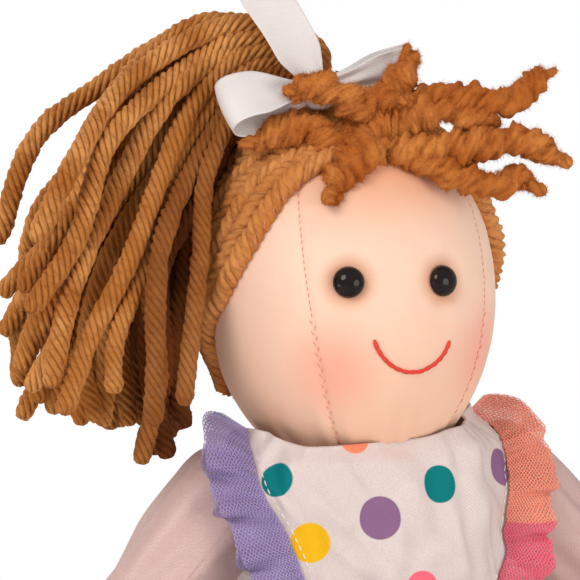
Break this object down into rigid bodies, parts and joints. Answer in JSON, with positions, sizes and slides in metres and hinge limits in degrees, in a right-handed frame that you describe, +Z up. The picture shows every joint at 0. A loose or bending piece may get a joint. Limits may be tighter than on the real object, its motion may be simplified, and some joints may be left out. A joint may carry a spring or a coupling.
{
  "type": "rag doll",
  "caption": "Stuffed cloth doll with yarn hair in a side ponytail, a ribbon bow and a dotted satin dress with tulle; head, arms and legs turn on sewn joints.",
  "frame": {"origin": "on the floor under the middle of the bounding box", "axes": "+Z up along the body; the doll faces -Y, so its right side is at -X"},
  "size_m": [0.2246, 0.1306, 0.4011],
  "materials": {
    "skin_cloth": "matte",
    "yarn": "matte",
    "stuffing": "matte",
    "washer": "matte",
    "eye": "gloss",
    "elastic": "matte",
    "ribbon": "satin",
    "dotted_satin": "satin",
    "closure": "matte",
    "pink_satin": "satin",
    "purple_tulle": "satin",
    "coral_tulle": "satin",
    "pink_tulle": "satin",
    "blue_tulle": "satin",
    "green_tulle": "satin",
    "yellow_tulle": "satin",
    "sole_felt": "matte",
    "shoe_felt": "matte"
  },
  "bodies": {
    "torso": {"torso": "skin_cloth", "bodice_front": "dotted_satin", "bodice_back_right": "dotted_satin", "bodice_back_left": "dotted_satin", "closure_hook_tape": "closure", "closure_loop_tape": "closure", "purple_ruffle": "purple_tulle", "coral_ruffle": "coral_tulle", "pink_ruffle": "pink_tulle", "waistband": "pink_satin", "skirt_right_half": "dotted_satin", "skirt_left_half": "dotted_satin", "tulle_purple": "purple_tulle", "tulle_blue": "blue_tulle", "tulle_green": "green_tulle", "tulle_yellow": "yellow_tulle", "tulle_coral": "coral_tulle", "tulle_pink": "pink_tulle"},
    "neck": {"neck": "skin_cloth"},
    "head": {"head_stuffing": "stuffing", "face_panel": "skin_cloth", "right_side_panel": "skin_cloth", "left_side_panel": "skin_cloth", "head_back_panel": "skin_cloth", "right_eye": "eye", "right_eye_washer": "washer", "left_eye": "eye", "left_eye_washer": "washer", "hair_cap": "yarn", "hair_tie": "elastic", "fringe": "yarn", "bow_knot": "ribbon", "bow_right_loop": "ribbon", "bow_left_loop": "ribbon", "ribbon_tail_up": "ribbon", "ribbon_tail_side": "ribbon"},
    "ponytail": {"ponytail_front_lock": "yarn", "ponytail_middle_lock": "yarn", "ponytail_back_lock": "yarn"},
    "right_shoulder": {"right_shoulder_flap": "skin_cloth"},
    "right_arm": {"right_arm": "skin_cloth", "right_sleeve": "pink_satin"},
    "right_leg": {"right_hip_flap": "skin_cloth", "right_leg": "skin_cloth", "right_shoe": "shoe_felt", "right_sole": "sole_felt", "right_shoe_strap": "shoe_felt"},
    "left_shoulder": {"left_shoulder_flap": "skin_cloth"},
    "left_arm": {"left_arm": "skin_cloth", "left_sleeve": "pink_satin"},
    "left_leg": {"left_hip_flap": "skin_cloth", "left_leg": "skin_cloth", "left_shoe": "shoe_felt", "left_sole": "sole_felt", "left_shoe_strap": "shoe_felt"}
  },
  "joints": [
    {"name": "neck_turn", "type": "hinge", "parent": "torso", "child": "neck", "pos_m": [0.00013, -0.00424, 0.238], "axis": [0, 0, 1], "range_deg": [-60, 60]},
    {"name": "head_nod", "type": "hinge", "parent": "neck", "child": "head", "pos_m": [0.00013, -0.00424, 0.241], "axis": [-1, 0, 0], "range_deg": [-8, 8]},
    {"name": "ponytail_swing", "type": "hinge", "parent": "head", "child": "ponytail", "pos_m": [-0.00769, -0.00258, 0.3612], "axis": [0, 0, -1], "range_deg": [0, 45]},
    {"name": "right_arm_swing", "type": "hinge", "parent": "torso", "child": "right_shoulder", "pos_m": [-0.04537, -0.00424, 0.226], "axis": [-1, 0, 0], "range_deg": [-50, 85], "deforming": ["purple_ruffle"]},
    {"name": "right_arm_lift", "type": "hinge", "parent": "right_shoulder", "child": "right_arm", "pos_m": [-0.04537, -0.00424, 0.226], "axis": [0, 1, 0], "range_deg": [-5, 35], "deforming": ["purple_ruffle"]},
    {"name": "left_arm_swing", "type": "hinge", "parent": "torso", "child": "left_shoulder", "pos_m": [0.04563, -0.00424, 0.226], "axis": [-1, 0, 0], "range_deg": [-50, 85], "deforming": ["coral_ruffle", "pink_ruffle"]},
    {"name": "left_arm_lift", "type": "hinge", "parent": "left_shoulder", "child": "left_arm", "pos_m": [0.04563, -0.00424, 0.226], "axis": [0, -1, 0], "range_deg": [-5, 35], "deforming": ["coral_ruffle", "pink_ruffle"]},
    {"name": "right_leg_swing", "type": "hinge", "parent": "torso", "child": "right_leg", "pos_m": [-0.01987, -0.00424, 0.124], "axis": [-1, 0, 0], "range_deg": [-25, 90], "deforming": ["skirt_right_half", "tulle_purple", "tulle_blue", "tulle_green"]},
    {"name": "left_leg_swing", "type": "hinge", "parent": "torso", "child": "left_leg", "pos_m": [0.02013, -0.00424, 0.124], "axis": [-1, 0, 0], "range_deg": [-25, 90], "deforming": ["skirt_left_half", "tulle_yellow", "tulle_coral", "tulle_pink"]}
  ]
}
